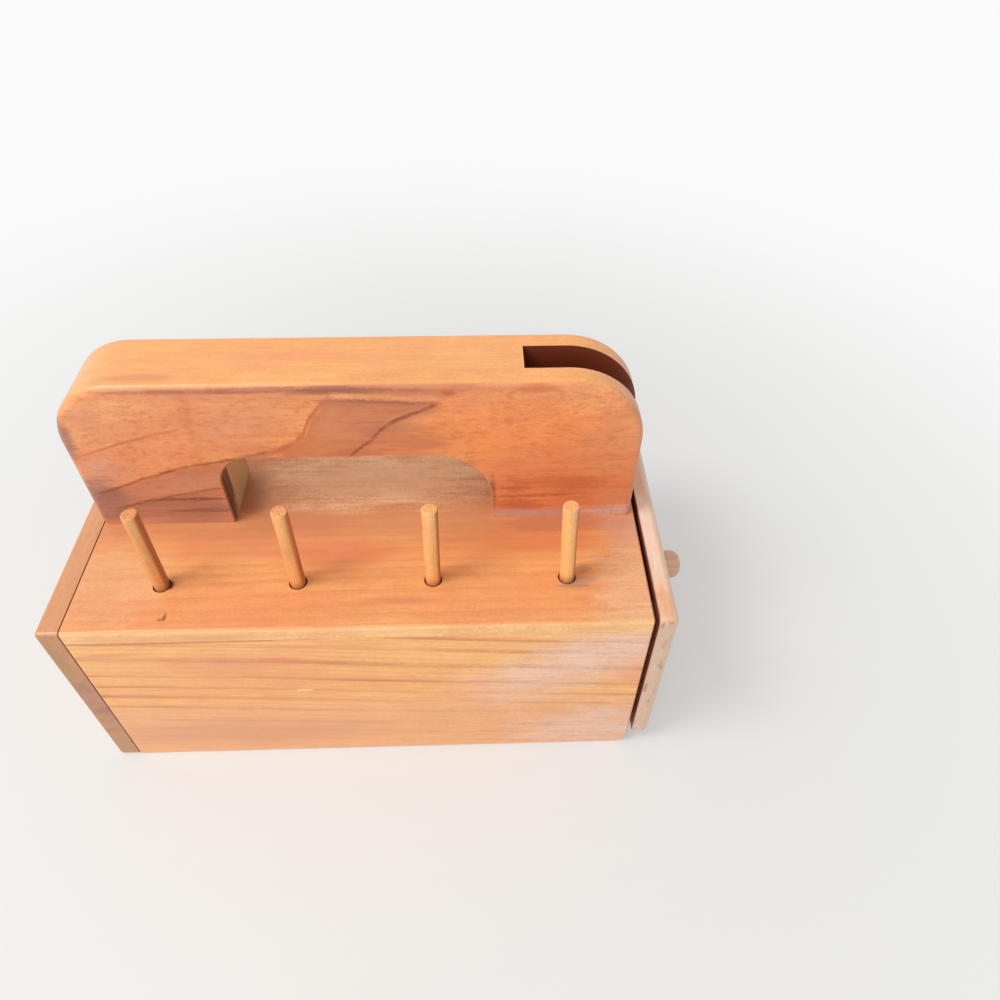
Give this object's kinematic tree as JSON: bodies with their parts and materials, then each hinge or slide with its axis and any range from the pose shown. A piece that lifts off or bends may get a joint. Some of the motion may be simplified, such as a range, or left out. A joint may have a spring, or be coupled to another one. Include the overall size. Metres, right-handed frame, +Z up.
{
  "type": "thread spool storage box",
  "caption": "Wooden sewing box with pegs for thread spools on its top, a carrying handle that holds shears, and a drawer that slides out of one end.",
  "frame": {"origin": "centre of the case's underside, where the box stands", "axes": "+X along the case, towards the drawer's knob; +Z up; -Y is the front, where the row of leaning pegs stands"},
  "size_m": [0.2382, 0.127, 0.1528],
  "materials": {
    "case_wood": "cedar-like softwood, satin varnish, straight grain along the box",
    "end_wood": "the same wood across the grain, slightly greyed",
    "handle_wood": "the same wood, redder, with purple-brown streaks and dark veins",
    "drawer_front_wood": "paler, pinkish wood, satin varnish",
    "drawer_box_wood": "plain pale softwood, unvarnished",
    "peg_wood": "light dowel, sawn ends",
    "knob_wood": "turned, greyish tan",
    "screw_steel": "zinc-plated wood screws"
  },
  "bodies": {
    "case": {"left_end_plate": "end_wood", "top_panel": "case_wood", "front_panel": "case_wood", "rear_panel": "case_wood", "floor_panel": "case_wood", "handle_front_cheek": "handle_wood", "handle_core": "handle_wood", "handle_rear_cheek": "handle_wood", "handle_screws": "screw_steel", "spool_peg_front_1": "peg_wood", "spool_peg_front_2": "peg_wood", "spool_peg_front_3": "peg_wood", "spool_peg_front_4": "peg_wood", "spool_peg_rear_1": "peg_wood", "spool_peg_rear_2": "peg_wood", "spool_peg_rear_3": "peg_wood", "spool_peg_rear_4": "peg_wood"},
    "drawer": {"drawer_front": "drawer_front_wood", "drawer_side_front": "drawer_box_wood", "drawer_side_rear": "drawer_box_wood", "drawer_back": "drawer_box_wood", "drawer_bottom": "drawer_box_wood", "drawer_knob": "knob_wood", "knob_screw": "screw_steel"}
  },
  "joints": [
    {"name": "drawer_slide", "type": "slide", "parent": "case", "child": "drawer", "axis": [1, 0, 0], "range_m": [-0.0015, 0.16]}
  ]
}
